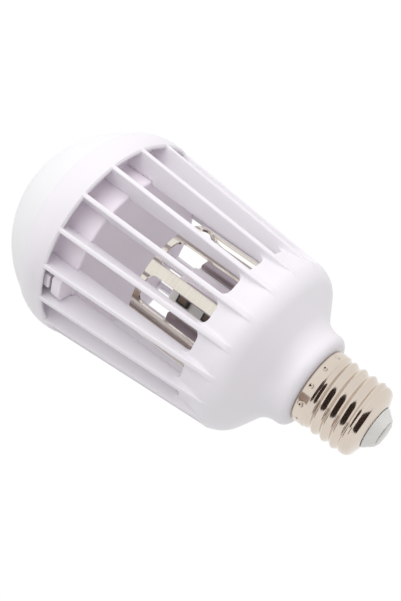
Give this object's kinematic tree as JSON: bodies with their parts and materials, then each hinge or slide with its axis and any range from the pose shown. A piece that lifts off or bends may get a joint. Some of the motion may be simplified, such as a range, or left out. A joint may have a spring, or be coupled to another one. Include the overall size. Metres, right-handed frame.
{
  "type": "insect killer light bulb",
  "caption": "White lamp bulb with a milky dome and a finned cage round a charged metal grid and ultraviolet lamp, on an Edison screw cap.",
  "frame": {"origin": "centre of the screw cap's rim, where the metal collar meets the neck", "axes": "+Z along the bulb's axis towards the centre contact, so the dome points along -Z; +X runs through a fin"},
  "size_m": [0.0796, 0.0796, 0.1516],
  "materials": {
    "cap_metal": "bright nickel-plated steel",
    "insulator": "pale grey glazed insulator",
    "contact": "tinned brass",
    "housing": "satin white moulded plastic",
    "diffuser": "milky satin polycarbonate",
    "drum": "white moulded plastic",
    "aluminium": "bare pressed aluminium",
    "board_white": "white solder mask",
    "board_green": "green solder mask",
    "phosphor": "yellow phosphor under clear resin",
    "uv_emitter": "clear resin over a dark frame",
    "screw_steel": "zinc-plated steel",
    "grid_metal": "bright nickel-plated sheet",
    "black_plastic": "black moulded body",
    "capacitor_sleeve": "shrunk plastic sleeve",
    "winding": "taped winding and ferrite",
    "film_box": "moulded box",
    "resistor_body": "coated ceramic",
    "ceramic_disc": "dipped ceramic",
    "wire_red": "silicone-covered wire",
    "wire_black": "silicone-covered wire"
  },
  "bodies": {
    "root": {"screw_shell": "cap_metal", "base_insulator": "insulator", "centre_contact": "contact", "cage_housing": "housing", "diffuser_dome": "diffuser", "head_drum": "drum", "heat_plate": "aluminium", "led_board": "board_white", "white_leds": "phosphor", "head_screws": "screw_steel", "grid_carrier": "drum", "carrier_screws": "screw_steel", "grid_outer": "grid_metal", "grid_inner": "grid_metal", "uv_post": "drum", "uv_boards": "board_white", "uv_leds": "uv_emitter", "wire_conduit": "drum", "driver_board": "board_green", "bulk_capacitor": "capacitor_sleeve", "hv_transformer": "winding", "film_capacitors": "film_box", "bridge_rectifier": "black_plastic", "fusible_resistor": "resistor_body", "hv_capacitors": "ceramic_disc", "phase_wire": "wire_red", "neutral_wire": "wire_black", "lamp_wires": "wire_red", "grid_wires": "wire_black"}
  },
  "joints": []
}
